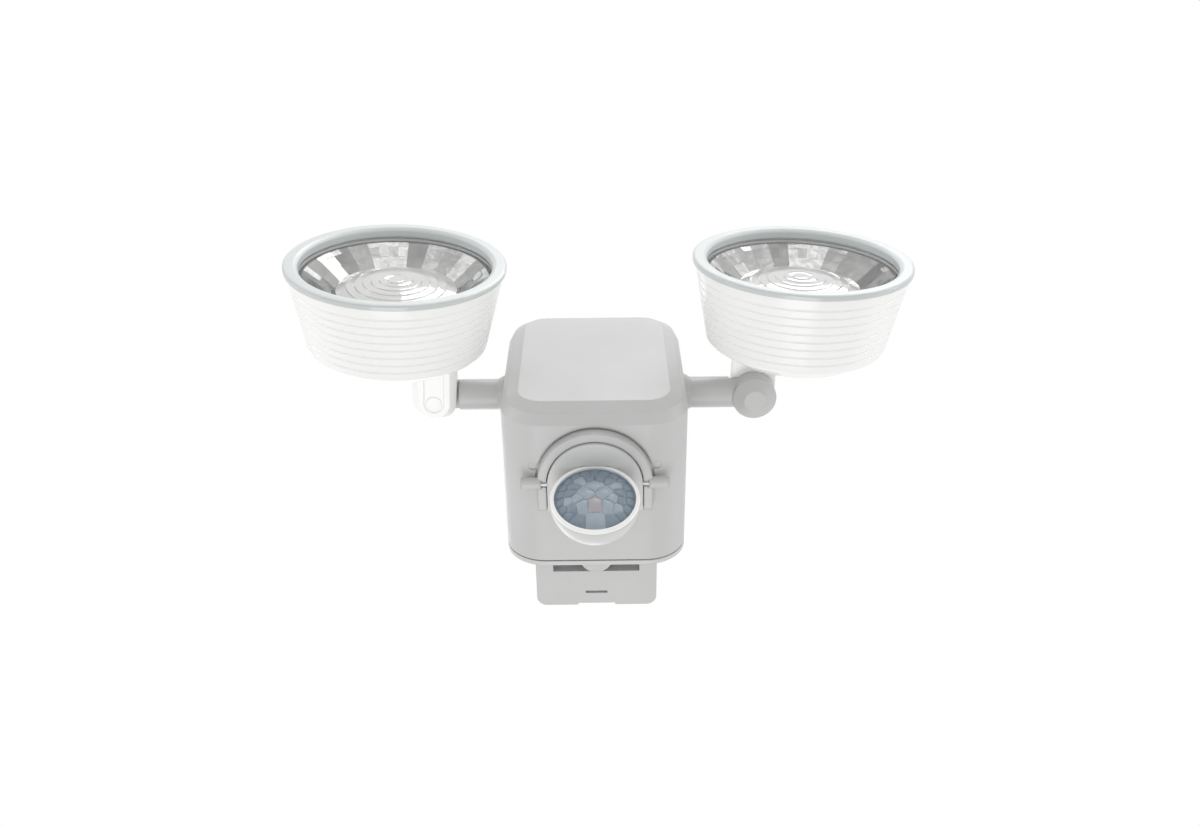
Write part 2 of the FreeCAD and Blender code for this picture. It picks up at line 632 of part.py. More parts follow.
def arm(side):
    """A hollow arm with its collar outside the case and half of the knuckle at its end."""
    inner_end = "(arm_inner - pivot_reach)"
    tube = rod(side + "_tube", "arm_radius", "-" + inner_end, (inner_end, 0, 0), ALONG_X)
    collar = solid("Cone", side + "_collar", ("case_width / 2 + 0.15 - pivot_reach", 0, 0),
                   ALONG_X, Radius1="collar_radius", Radius2="arm_radius", Height="collar_length")
    drum = rod(side + "_drum", "knuckle_radius", "knuckle_side", (0, 0, "-knuckle_side"))
    tip = solid("Cone", side + "_tip", (0, 0, "-knuckle_depth"), None, Radius1="knuckle_tip",
                Radius2="knuckle_radius", Height="knuckle_depth - knuckle_side")
    whole = join(side + "_arm_whole", [tube, collar, drum, tip])
    lap = block(side + "_lap", ("-knuckle_radius - 1.2", "30"), ("-20", "20"),
                ("-lap_gap", "20"))
    bore = rod(side + "_bore", "arm_bore", "1 - %s - lead_end" % inner_end,
               ("%s - 1" % inner_end, 0, 0), ALONG_X)
    hole = rod(side + "_hole", "screw_radius", "knuckle_side + 1", (0, 0, "-knuckle_side"))
    return finish(cut(side + "_arm_cut", whole, [lap, bore, hole]), side + "_arm",
                  arm_frame(side))


def arm_ring(side, name, outer, start, length, inner):
    """A ring on the arm inside the case, from a distance off the middle of the light."""
    at = ("%s - pivot_reach" % start, 0, 0)
    body = cut("%s_%s_ring" % (side, name), rod("%s_%s_out" % (side, name), outer, length, at,
                                                 ALONG_X),
               [rod("%s_%s_in" % (side, name), inner, length, at, ALONG_X)])
    return finish(body, "%s_%s" % (side, name), arm_frame(side))


def tilt_screw(side):
    """The screw the head tilts on: head sunk in the lug, thread in the arm's knuckle."""
    top = rod(side + "_screw_top", "3.2", "2.2", (0, 0, "lug_depth - 2.6"))
    shank = rod(side + "_screw_shank", "screw_radius", "lug_depth + knuckle_side - 2.6",
                (0, 0, "-knuckle_side"))
    slot = block(side + "_screw_slot", ("-2.4", "2.4"), ("-0.5", "0.5"),
                 ("lug_depth - 1.2", "lug_depth + 1"))
    cross = block(side + "_screw_cross", ("-0.5", "0.5"), ("-2.4", "2.4"),
                  ("lug_depth - 1.2", "lug_depth + 1"))
    whole = join(side + "_screw_whole", [top, shank])
    return finish(cut(side + "_screw", whole, [slot, cross]), side + "_tilt_screw",
                  arm_frame(side))


def head_shell(side):
    """The white lamp shell: a grooved cone, a chamfered back, and half of the knuckle."""
    slope = "((shell_radius - shell_small) / (shell_front - chamfer_top))"
    points = [("0", "head_back"), ("back_radius", "head_back"), ("shell_small", "chamfer_top")]
    for number in range(GROOVES):
        low = "(groove_start + %d * groove_pitch)" % number
        for step, depth in (("- 0.55", "0"), ("+ 0", "groove_depth"), ("+ 0.55", "0")):
            height = "(%s %s)" % (low, step)
            radius = "shell_small + (%s - chamfer_top) * %s - %s" % (height, slope, depth)
            points.append((radius, height))
    points += [
        ("shell_radius", "shell_front"),
        ("shell_radius - shell_wall", "shell_front"),
        ("shell_small - shell_wall", "chamfer_top + 1"),
        ("back_radius", "head_back + shell_wall"),
        ("0", "head_back + shell_wall"),
    ]
    body = turned(side + "_shell", points)
    pivot = "-head_offset"
    radius = "knuckle_radius"
    level = "lug_bevel - lug_depth"
    flat = rectangle(body, side + "_lug_plan", "XZ_Plane",
                     ("%s - %s" % (pivot, radius), "%s + %s" % (pivot, radius)),
                     ("0", "head_back + 1"), level)
    pad(body, side + "_lug", flat, "lug_depth - lug_bevel - lap_gap")
    end = circles(body, side + "_lug_end_plan", "XZ_Plane", [(pivot, "0")], radius, level)
    pad(body, side + "_lug_end", end, "lug_depth - lug_bevel - lap_gap")
    flat = rectangle(body, side + "_lug_bevel_plan", "XZ_Plane",
                     ("%s - %s" % (pivot, radius), "%s + %s" % (pivot, radius)),
                     ("-lug_bevel", "head_back + 1"), level)
    end = circles(body, side + "_lug_bevel_end_plan", "XZ_Plane", [(pivot, "0")], radius, level)
    pad(body, side + "_lug_bevel", flat, "lug_bevel", True, "-45")
    pad(body, side + "_lug_bevel_end", end, "lug_bevel", True, "-45")
    sketch = circles(body, side + "_lug_hole_plan", "XZ_Plane", [(pivot, "0")],
                     "screw_radius + 0.1", "-lug_depth - 1")
    pocket(body, side + "_lug_hole", sketch, "30", True)
    sketch = circles(body, side + "_lug_seat_plan", "XZ_Plane", [(pivot, "0")], "3.4",
                     "-lug_depth - 1")
    pocket(body, side + "_lug_seat", sketch, "3.8", True)
    return finish(body, side + "_head_shell", lamp_frame(side))


def lamp_ring(side, name, points):
    return finish(turned("%s_%s_body" % (side, name), points), "%s_%s" % (side, name),
                  lamp_frame(side))


SINK = "head_back + shell_wall"


def heat_sink(side):
    return lamp_ring(side, "heat_sink", [
        ("0", SINK), ("sink_radius", SINK), ("sink_radius", SINK + " + 4"),
        ("sink_step", SINK + " + 4"), ("sink_step", SINK + " + 6"), ("0", SINK + " + 6")])


def led_board(side):
    return lamp_ring(side, "led_board", [
        ("0", SINK + " + 6"), ("led_board_radius", SINK + " + 6"),
        ("led_board_radius", SINK + " + 7.6"), ("0", SINK + " + 7.6")])


def led(side):
    base = "(%s + 7.6)" % SINK
    body = block(side + "_led_block", ("-3.5", "3.5"), ("-3.5", "3.5"), (base, base + " + 1.4"))
    return finish(join(side + "_led_body", [body, rod(side + "_led_dome", "2.6", "1",
                                                      (0, 0, base + " + 1"))]),
                  side + "_led", lamp_frame(side))


def reflector(side):
    """The chromed bowl round the lens, standing on the heat sink and flared at its mouth."""
    foot = SINK + " + 6"
    mouth = "window_back - 1"
    return lamp_ring(side, "reflector", [
        ("bowl_foot", foot), ("bowl_foot + bowl_thick", foot),
        ("bowl_bend + bowl_thick", "bowl_bend_height"), ("bowl_mouth + bowl_thick", mouth),
        ("bowl_mouth", mouth), ("bowl_bend", "bowl_bend_height + 0.9")])


def condenser_lens(side):
    """The clear lens: a cone over the LED, with a well for it and a low dome in front."""
    curve = "((lens_radius ^ 2 + lens_bulge ^ 2) / (2 * lens_bulge))"
    foot = SINK + " + 7.6"
    body = turned(side + "_lens_cone", [
        ("lens_well", foot), ("lens_foot", foot), ("lens_radius", "lens_edge - 2"),
        ("lens_radius", "lens_edge + lens_bulge"), ("0", "lens_edge + lens_bulge"),
        ("0", foot + " + 4.6"), ("lens_well - 1", foot + " + 3.6")])
    ball = solid("Sphere", side + "_lens_ball", (0, 0, "lens_edge + lens_bulge - %s" % curve),
                 None, Radius=curve)
    return finish(overlap(side + "_lens", body, ball), side + "_condenser_lens",
                  lamp_frame(side))


def lens_cover(side):
    """The clear front cover: a thick frosted rim and a thin window set back inside it."""
    return lamp_ring(side, "lens_cover", [
        ("0", "window_back"), ("cover_spigot", "window_back"), ("cover_spigot", "shell_front"),
        ("rim_radius", "shell_front"), ("rim_radius", "rim_front - 0.7"),
        ("rim_radius - 0.7", "rim_front"), ("window_radius + 1.2", "rim_front"),
        ("window_radius", "rim_front - 1"), ("window_radius", "window_back + window_thick"),
        ("0", "window_back + window_thick")])


def lens_seal(side):
    return lamp_ring(side, "lens_seal", [
        ("bowl_mouth + 1.4", "window_back - 1.4"), ("cover_spigot - 0.2", "window_back - 1.4"),
        ("cover_spigot - 0.2", "window_back"), ("bowl_mouth + 1.4", "window_back")])


def lamp_lead(side):
    """The two wires from the case, side by side in the hollow arm."""
    start = "(arm_inner - pivot_reach - 0.5)"
    cores = [rod("%s_core_%d" % (side, number), "lead_radius", "-%s - lead_end" % start,
                 (start, "%d * (lead_radius + 0.05)" % sign, 0), ALONG_X)
             for number, sign in enumerate((-1, 1), 1)]
    return finish(group(side + "_cores", cores), side + "_lamp_lead", arm_frame(side))


# ---- Sensor ---------------------------------------------------------------------------------

UNDERSIDE = "-case_height / 2"
PIVOT_Y = "-sensor_pivot_back"
PIVOT_Z = "(-case_height / 2 - pivot_drop)"


def u_solid(name, radius, rear, low, high):
    """A half-round front and straight sides back to a rear edge, seen from below."""
    round_part = rod(name + "_round", radius, "(%s) - (%s)" % (high, low), (0, PIVOT_Y, low))
    sides = block(name + "_sides", ("-(%s)" % radius, radius),
                  (PIVOT_Y, "%s + %s" % (PIVOT_Y, rear)), (low, high))
    rear_part = block(name + "_rear", ("-(%s) - 1" % radius, "(%s) + 1" % radius),
                      ("%s + %s" % (PIVOT_Y, rear), "0"),
                      ("(%s) - 1" % low, "(%s) + 1" % high))
    return cut(name, join(name + "_whole", [round_part, sides]), [rear_part])


def sensor_yoke():
    """The U-shaped band under the case, with the tub behind it and the hinge barrels."""
    band = u_solid("band", "band_outer", "leg_length", UNDERSIDE + " - band_drop", UNDERSIDE)
    band_space = u_solid("band_space", "band_inner", "leg_length + 3",
                         UNDERSIDE + " - band_drop - 1", UNDERSIDE)
    tub = u_solid("tub", "band_inner + tub_wall", "base_rear + 1 + tub_wall",
                  UNDERSIDE, UNDERSIDE + " + tub_rise")
    tub_space = u_solid("tub_space", "band_inner", "base_rear + 1", UNDERSIDE + " - 1",
                        UNDERSIDE + " + tub_rise - tub_wall")
    root = u_solid("band_root", "band_outer", "0.3", UNDERSIDE, UNDERSIDE + " + band_seat")
    root_space = rod("root_space", "band_inner", "band_seat + 2", (0, PIVOT_Y, UNDERSIDE + " - 1"))
    open_root = cut("open_root", root, [root_space])
    open_band = cut("open_band", band, [band_space])
    open_tub = cut("open_tub", tub, [tub_space])
    barrels = []
    holes = []
    for sign, turn in ((1, ALONG_X), (-1, FreeCAD.Rotation(V(0, 1, 0), -90))):
        side = "right" if sign > 0 else "left"
        barrels.append(rod(side + "_barrel", "barrel_radius", "barrel_end - band_outer + 1.6",
                           ("%d * (band_outer - 1.6)" % sign, PIVOT_Y, PIVOT_Z), turn))
        holes.append(rod(side + "_barrel_hole", "pin_radius", "20",
                         ("%d * 10" % sign, PIVOT_Y, PIVOT_Z), turn))
    way = rod("sensor_lead_way", "3", "6", (0, PIVOT_Y, UNDERSIDE + " + tub_rise - 3"))
    whole = join("yoke_whole", [open_band, open_root, open_tub] + barrels)
    return finish(cut("yoke", whole, holes + [way]), "sensor_yoke")


def pivot_pins():
    made = []
    for sign, turn in ((1, ALONG_X), (-1, FreeCAD.Rotation(V(0, 1, 0), -90))):
        side = "right" if sign > 0 else "left"
        made.append(rod(side + "_pin", "pin_radius", "barrel_end - 0.2 - pin_inner",
                        ("%d * pin_inner" % sign, PIVOT_Y, PIVOT_Z), turn))
    return finish(group("pins", made), "pivot_pins")


def sensor_base():
    """The hinged base of the sensor: part of a ball in front, straight-sided behind."""
    low = "%s - base_bottom" % PIVOT_Z
    high = "%s + base_top" % PIVOT_Z
    plan = u_solid("base_plan", "swing_radius", "base_rear", low, high)
    ball = solid("Sphere", "base_ball", (0, PIVOT_Y, PIVOT_Z), None, Radius="swing_radius")
    rear = block("base_rear_part", ("-swing_radius", "swing_radius"),
                 (PIVOT_Y, "%s + base_rear" % PIVOT_Y), (low, high))
    front = overlap("base_front", plan, ball)
    whole = join("base_whole", [front, rear])
    holes = []
    for sign, turn in ((1, ALONG_X), (-1, FreeCAD.Rotation(V(0, 1, 0), -90))):
        side = "right" if sign > 0 else "left"
        holes.append(rod(side + "_base_hole", "pin_radius + 0.1", "10",
                         ("%d * (pin_inner - 0.5)" % sign, PIVOT_Y, PIVOT_Z), turn))
    way = rod("base_lead_way", "3", "20", (0, PIVOT_Y, "%s - 8" % PIVOT_Z))
    notch = doc.addObject("Part::Cylinder", "ring_notch")
    notch.Radius = value("cup_radius")
    notch.Height = value("ring_thick + 0.25")
    notch.Placement = sensor_frame() * FreeCAD.Placement(V(0, 0, value("cup_rim")),
                                                         FreeCAD.Rotation())
    return finish(cut("base", whole, holes + [way, notch]), "sensor_base")


def sensor_cup():
    """The white cup: a ball shell cut flat under the base and open where the lens goes."""
    frame = sensor_frame()
    lift = value("cup_drop - base_bottom")
    outer = solid("Sphere", "cup_outer", Radius="cup_radius")
    inner = solid("Sphere", "cup_inner", Radius="cup_radius - cup_wall")
    front = block("cup_front", ("-30", "30"), ("-30", "30"), ("cup_rim", "30"))
    above = doc.addObject("Part::Box", "cup_above")
    above.Length = above.Width = above.Height = 60
    level = FreeCAD.Placement(V(0, 0, 0), FreeCAD.Rotation(V(1, 0, 0), -90 - value("lens_down")))
    above.Placement = level * FreeCAD.Placement(V(-30, -30, lift), FreeCAD.Rotation())
    way = doc.addObject("Part::Cylinder", "cup_lead_way")
    way.Radius = 3
    way.Height = 20
    way.Placement = level * FreeCAD.Placement(V(0, value("cup_forward"), lift - 12),
                                              FreeCAD.Rotation())
    return finish(cut("cup", outer, [inner, front, above, way]), "sensor_cup", frame)


def sensor_turned(label, points):
    return finish(turned(label + "_body", points), label, sensor_frame())


def lens_ring():
    outer = "cup_radius - 0.1"
    return sensor_turned("lens_ring", [
        ("ring_inner", "cup_rim"), (outer, "cup_rim"), (outer, "cup_rim + ring_thick - 0.4"),
        (outer + " - 0.4", "cup_rim + ring_thick"), ("ring_inner", "cup_rim + ring_thick")])


def fresnel_lens():
    """The thin domed sensor lens, its edge held in the ring."""
    edge = "ring_inner"
    curve = "((%s ^ 2 + fresnel_bulge ^ 2) / (2 * fresnel_bulge))" % edge
    sunk = "cup_rim + fresnel_bulge - %s" % curve
    ball = solid("Sphere", "fresnel_ball", (0, 0, sunk), None, Radius=curve)
    hollow = solid("Sphere", "fresnel_hollow", (0, 0, sunk), None, Radius=curve + " - 0.8")
    barrel = rod("fresnel_barrel", edge, "fresnel_bulge + 2", (0, 0, "cup_rim"))
    dome = cut("fresnel_dome", overlap("fresnel_cap", barrel, ball), [hollow])
    return finish(dome, "fresnel_lens", sensor_frame())


def sensor_board():
    return sensor_turned("sensor_board", [
        ("0", "-9"), ("12.8", "-9"), ("12.8", "-7.4"), ("0", "-7.4")])


def pyro_sensor():
    """The metal can with its dark window, on the sensor board."""
    return sensor_turned("pyro_sensor", [
        ("0", "-7.4"), ("4.9", "-7.4"), ("4.9", "-7"), ("4.1", "-7"), ("4.1", "-3.4"),
        ("0", "-3.4")])


# ---- Assembly -------------------------------------------------------------------------------

wall_bracket()
release_latch()
rear_cover()
cover_gasket()
screws("cover_screws", spots("pillar_x", "pillar_z"), "cover_back + 0.4", "2.9", "1.8",
       "screw_thread", "14")
front_housing()
battery_tray()
battery_cells()
contact_springs()
contact_plates()
main_board()
board_components()
screws("board_screws", spots("board_post_x", "board_post_z"), "board_back - 1.6", "2.6", "1.6",
       "screw_thread", "5.2")
for side in ("left", "right"):
    arm(side)
    arm_ring(side, "arm_seal", "8.8", "boss_inner - 1.4", "1.4", "arm_radius + 0.1")
    arm_ring(side, "arm_retainer", "8.6", "arm_inner + 0.4", "2.4", "arm_radius")
    tilt_screw(side)
    head_shell(side)
    heat_sink(side)
    led_board(side)
    led(side)
    reflector(side)
    condenser_lens(side)
    lens_seal(side)
    lens_cover(side)
    lamp_lead(side)
sensor_yoke()
pivot_pins()
sensor_base()
sensor_cup()
lens_ring()
fresnel_lens()
sensor_board()
pyro_sensor()

doc.recompute()
for item in doc.Objects:
    if {"Invalid", "Error"} & set(item.State):
        raise ValueError("%s failed: %s" % (item.Name, item.State))
for item, label in pieces:
    if item.Label != label:
        raise ValueError("the name %s is used twice" % label)
    if item.Shape.isNull() or not item.Shape.isValid() or not item.Shape.Solids:
        raise ValueError("%s has no valid solid" % label)
for item, label in pieces:
    item.Shape.exportStep("parts/%s.step" % label)
    print("%-18s %3d solids %10.1f mm3" % (label, len(item.Shape.Solids), item.Shape.Volume))
print(len(pieces), "pieces")
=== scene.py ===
import math
import random

import bmesh
import bpy
from mathutils import Matrix, Vector


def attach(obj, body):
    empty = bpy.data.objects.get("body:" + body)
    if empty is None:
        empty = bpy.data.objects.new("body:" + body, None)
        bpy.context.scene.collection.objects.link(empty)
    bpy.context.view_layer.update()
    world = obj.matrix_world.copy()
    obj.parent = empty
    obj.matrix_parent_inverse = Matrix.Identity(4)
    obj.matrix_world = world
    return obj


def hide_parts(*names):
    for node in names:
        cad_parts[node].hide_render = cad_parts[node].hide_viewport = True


# A battery security light: two round lamps on jointed arms, a box case on its wall bracket,
# and a motion sensor that tilts under the case. The wall is the plane Y = 0, the lamps face
# -Y, and the photograph looks up at the light from below and in front.
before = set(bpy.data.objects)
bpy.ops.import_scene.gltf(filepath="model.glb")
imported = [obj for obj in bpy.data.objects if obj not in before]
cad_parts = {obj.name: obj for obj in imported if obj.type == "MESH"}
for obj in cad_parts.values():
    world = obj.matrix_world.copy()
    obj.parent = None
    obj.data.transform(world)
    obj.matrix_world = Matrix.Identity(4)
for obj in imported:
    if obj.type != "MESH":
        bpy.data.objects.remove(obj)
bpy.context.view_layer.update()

# ---- Wall bracket ---------------------------------------------------------------------------
# The block that screws to the wall and carries the case on a rail. Light grey ABS, injection
# moulded in a spark-eroded tool, so it shows a soft sheen, a faint grain and no sharp edges.

MM = 0.001
GREY_ABS = "#C8C9C8"
GREY_ABS_SHADE = "#C1C2C1"


def linear(code):
    """A hex sRGB colour as the linear numbers that a shader takes."""
    levels = [int(code[start:start + 2], 16) / 255 for start in (1, 3, 5)]
    return [v / 12.92 if v <= 0.04045 else ((v + 0.055) / 1.055) ** 2.4 for v in levels] + [1]


def add_node(tree, kind, inputs=None, **settings):
    """Add a node with its settings; an input is a value, or the output that feeds it."""
    node = tree.nodes.new(kind)
    for name, setting in settings.items():
        setattr(node, name, setting)
    for name, source in (inputs or {}).items():
        if isinstance(source, bpy.types.NodeSocket):
            tree.links.new(source, node.inputs[name])
        else:
            node.inputs[name].default_value = source
    return node


def start_material(name, **values):
    """A new material, its node tree and its shader, with the shader's plain values set."""
    material = bpy.data.materials.new(name)
    material.use_nodes = True
    shader = material.node_tree.nodes["Principled BSDF"]
    for socket, value in values.items():
        shader.inputs[socket.replace("_", " ")].default_value = value
    return material, material.node_tree, shader


def moulded(name, colour, shade, roughness, grain, depth, edge=0.35, **values):
    """A moulded plastic: slow flow shading, uneven sheen, tool grain and rounded edges.

    grain, depth and edge are millimetres: the size of the tool's texture, its height, and
    the radius that the moulding has along its edges."""
    material, tree, shader = start_material(name, **values)
    place = add_node(tree, "ShaderNodeTexCoord").outputs["Object"]
    flow = add_node(tree, "ShaderNodeTexNoise",
                    {"Vector": place, "Scale": 1 / (35 * MM), "Detail": 3.0})
    tone = add_node(tree, "ShaderNodeMix",
                    {"Factor": flow.outputs["Fac"], "A": linear(colour), "B": linear(shade)},
                    data_type="RGBA")
    sheen = add_node(tree, "ShaderNodeMapRange",
                     {"Value": flow.outputs["Fac"], "To Min": roughness - 0.05,
                      "To Max": roughness + 0.05})
    texture = add_node(tree, "ShaderNodeTexNoise",
                       {"Vector": place, "Scale": 1 / (grain * MM), "Detail": 2.0})
    corner = add_node(tree, "ShaderNodeBevel", {"Radius": edge * MM}, samples=4)
    bump = add_node(tree, "ShaderNodeBump",
                    {"Height": texture.outputs["Fac"], "Distance": depth * MM,
                     "Normal": corner.outputs["Normal"]})
    tree.links.new(tone.outputs["Result"], shader.inputs["Base Color"])
    tree.links.new(sheen.outputs["Result"], shader.inputs["Roughness"])
    tree.links.new(bump.outputs["Normal"], shader.inputs["Normal"])
    return material


def clothe(material, *names):
    """Give CAD nodes, which keep their shapes, their real finish."""
    for name in names:
        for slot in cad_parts[name].material_slots:
            slot.material = material


# The spark-eroded grain is about 0.05 mm; it is drawn at 0.5 mm so that it shows at all.
spark_textured_grey_abs = moulded("spark_textured_grey_abs", GREY_ABS, GREY_ABS_SHADE,
                                  0.42, 0.5, 0.012, IOR=1.54)
clothe(spark_textured_grey_abs, "wall_bracket")

# ---- Release latch --------------------------------------------------------------------------
# The half-round thumb tab under the back of the case, moulded in the same grey ABS; it is
# pressed up to let the light slide off its bracket.

clothe(spark_textured_grey_abs, "release_latch")

# ---- Rear cover, gasket and screws ----------------------------------------------------------
# The grey ABS back plate, screwed to the case with four cross-slotted screws over a flat
# silicone rubber frame that shows as the dark line round the case.

# The cover comes from its own tool and is a shade paler than the case.
moulded_grey_cover = moulded("moulded_grey_cover", "#D0D1D0", "#C8C9C8", 0.4, 0.5, 0.012,
                             IOR=1.54)
clothe(moulded_grey_cover, "rear_cover")

# Rubber pressed in a plain mould is matt, with no sharp highlight.
pressed_silicone_rubber = moulded("pressed_silicone_rubber", "#8B8D8D", "#7F8181", 0.6, 0.4,
                                  0.01, 0.1, IOR=1.43)
clothe(pressed_silicone_rubber, "cover_gasket")


def plated_steel(name, colour, roughness, grain):
    """Zinc-plated steel: a grey metal with a fine uneven grain from the plating bath."""
    material, tree, shader = start_material(name, Metallic=1.0)
    place = add_node(tree, "ShaderNodeTexCoord").outputs["Object"]
    bath = add_node(tree, "ShaderNodeTexNoise",
                    {"Vector": place, "Scale": 1 / (grain * MM), "Detail": 4.0})
    tone = add_node(tree, "ShaderNodeMix",
                    {"Factor": bath.outputs["Fac"], "A": linear(colour), "B": linear("#8F9192")},
                    data_type="RGBA")
    dull = add_node(tree, "ShaderNodeMapRange",
                    {"Value": bath.outputs["Fac"], "To Min": roughness - 0.06,
                     "To Max": roughness + 0.1})
    corner = add_node(tree, "ShaderNodeBevel", {"Radius": 0.12 * MM}, samples=4)
    tree.links.new(tone.outputs["Result"], shader.inputs["Base Color"])
    tree.links.new(dull.outputs["Result"], shader.inputs["Roughness"])
    tree.links.new(corner.outputs["Normal"], shader.inputs["Normal"])
    return material


# Zinc from the bath is bright but uneven, so highlights on it break up.
zinc_plated_steel = plated_steel("zinc_plated_steel", "#C3C5C6", 0.3, 1.2)
clothe(zinc_plated_steel, "cover_screws")

# ---- Front housing --------------------------------------------------------------------------
# The case: one deep shell in light grey ABS whose front edge is a bevel in two steps. The
# tool's texture takes the gloss down, so each face of the bevel is one even tone.

clothe(spark_textured_grey_abs, "front_housing")

# ---- Batteries and board --------------------------------------------------------------------
# Shut inside the case: a black ABS tray with four C cells in plain shrink jackets, sprung
# steel contacts, and the glass-epoxy board with its parts.

# Plain black plastic, glossy shrink film, lacquered green laminate and dull cast epoxy.
moulded_black_abs = moulded("moulded_black_abs", "#2B2B2C", "#222223", 0.5, 0.6, 0.015, IOR=1.54)
shrunk_cell_jacket = moulded("shrunk_cell_jacket", "#3C424B", "#343A43", 0.3, 4, 0.02, IOR=1.5)
glass_epoxy_board = moulded("glass_epoxy_board", "#2F6B3E", "#235431", 0.35, 0.8, 0.02, IOR=1.55)
moulded_component_epoxy = moulded("moulded_component_epoxy", "#333436", "#28292B", 0.55, 0.3,
                                  0.01, IOR=1.55)
clothe(moulded_black_abs, "battery_tray")
clothe(shrunk_cell_jacket, "battery_cells")
clothe(glass_epoxy_board, "main_board")
clothe(moulded_component_epoxy, "board_components")
clothe(zinc_plated_steel, "contact_springs", "contact_plates", "board_screws")

# ---- Arms -----------------------------------------------------------------------------------
# Two hollow arms in mid-grey glass-filled nylon, with a collar against the case and a
# bevelled knuckle. The glass fibre leaves a slightly cloudy, harder sheen than the case.

moulded_grey_nylon = moulded("moulded_grey_nylon", "#C6C7C6", "#BBBCBB", 0.36, 0.8, 0.012,
                             0.5, IOR=1.53)
# Insulation drawn through a die has a smooth, even shine.
extruded_lead_pvc = moulded("extruded_lead_pvc", "#A83A32", "#93302A", 0.4, 1.0, 0.01, IOR=1.53)
for side in ("left", "right"):
    clothe(moulded_grey_nylon, side + "_arm")
    clothe(pressed_silicone_rubber, side + "_arm_seal")
    clothe(moulded_black_abs, side + "_arm_retainer")
    clothe(zinc_plated_steel, side + "_tilt_screw")
    clothe(extruded_lead_pvc, side + "_lamp_lead")

# ---- Lamp shells ----------------------------------------------------------------------------
# Each lamp's body: a white ABS cone from a polished tool, turned with eight fine grooves,
# with a rounded lug at the back that laps the arm's knuckle. The lug has a shallow channel
# down its face, and a cap over the tilt screw.

ARM_AXIS = 84
PIVOT_REACH = 67.5
LAMP_OFFSET = 15.6
REST = {"left": (180, 0.0, -3.9), "right": (0, 2.8, 1.8)}
WHITE_ABS = "#FAFAF9"
SHELL_BACK = 18.6
SHELL_FRONT = 57.6
SHELL_RADIUS = 43.4
SHELL_SMALL = 36.8
CHAMFER_TOP = 24.6
SHELL_SLOPE = (SHELL_RADIUS - SHELL_SMALL) / (SHELL_FRONT - CHAMFER_TOP)
BACK_FLAT = 27
BACK_INSIDE = 20.8
GROOVES = 8
GROOVE_START = 28.4
GROOVE_PITCH = 3.5
GROOVE_HALF = 0.45
GROOVE_DEPTH = 0.42
LUG_WIDE = 9.2
LUG_DEEP = 8.6
LUG_BEVEL = 2.6
LUG_REVEAL = 0.4
CHANNEL_HALF = 4.3
SCREW_CAP_RADIUS = 3.4
ARC_STEPS = 5
LUG_POINTS = 72


def lamp_place(side):
    """Where a lamp's own axis stands: Z forward from level with the knuckle's pivot."""
    over, tip, lean = REST[side]
    return (Matrix.Translation((0, -ARM_AXIS * MM, 0))
            @ Matrix.Rotation(math.radians(-tip), 4, "X")
            @ Matrix.Rotation(math.radians(over), 4, "Y")
            @ Matrix.Translation((PIVOT_REACH * MM, 0, 0))
            @ Matrix.Rotation(math.radians(lean), 4, "Z")
            @ Matrix.Translation((LAMP_OFFSET * MM, 0, 0))
            @ Matrix.Rotation(math.radians(90), 4, "X"))


def eased(points):
    """An outline of (x, y, radius) corners with each corner drawn as an arc."""
    smooth = []
    count = len(points)
    for index, (x, y, radius) in enumerate(points):
        here = Vector((x, y))
        if not radius or index in (0, count - 1):
            smooth.append((x, y))
            continue
        back = (Vector(points[index - 1][:2]) - here).normalized()
        ahead = (Vector(points[index + 1][:2]) - here).normalized()
        half = back.angle(ahead) / 2
        start = here + back * radius / math.tan(half)
        end = here + ahead * radius / math.tan(half)
        centre = here + (back + ahead).normalized() * radius / math.sin(half)
        turn = (end - centre).angle_signed(start - centre)
        for step in range(ARC_STEPS + 1):
            spoke = start - centre
            spoke.rotate(Matrix.Rotation(turn * step / ARC_STEPS, 2))
            smooth.append(tuple(centre + spoke))
    return smooth


def turned(mesh, profile, count=160, material=0):
    """Add the surface that a (radius, height) outline in millimetres sweeps about Z."""
    rings = []
    for radius, height in profile:
        if radius < 1e-6:
            rings.append([mesh.verts.new((0, 0, height * MM))])
            continue
        rings.append([mesh.verts.new((radius * MM * math.cos(2 * math.pi * k / count),
                                      radius * MM * math.sin(2 * math.pi * k / count),
                                      height * MM)) for k in range(count)])
    for low, high in zip(rings, rings[1:]):
        for k in range(count):
            corners = [low[k % len(low)], low[(k + 1) % len(low)],
                       high[(k + 1) % len(high)], high[k % len(high)]]
            distinct = list(dict.fromkeys(corners))
            if len(distinct) > 2:
                mesh.faces.new(distinct).material_index = material


def lofted(mesh, rings):
    """Join closed rings of equally many points, in millimetres, by a skin of four-sided faces."""
    made = [[mesh.verts.new(Vector(point) * MM) for point in ring] for ring in rings]
    for low, high in zip(made, made[1:]):
        for k in range(len(low)):
            following = (k + 1) % len(low)
            mesh.faces.new((low[k], low[following], high[following], high[k]))
    return made


def new_piece(name, mesh, materials, place, body, sharp=30):
    """Make an object of the mesh, smooth but for edges over the sharp angle, on its body."""
    bmesh.ops.recalc_face_normals(mesh, faces=mesh.faces)
    mesh.transform(place)
    data = bpy.data.meshes.new(name)
    mesh.to_mesh(data)
    mesh.free()
    data.shade_smooth()
    data.set_sharp_from_angle(angle=math.radians(sharp))
    for material in materials:
        data.materials.append(material)
    piece = bpy.data.objects.new(name, data)
    bpy.context.scene.collection.objects.link(piece)
    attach(piece, body)
    return piece


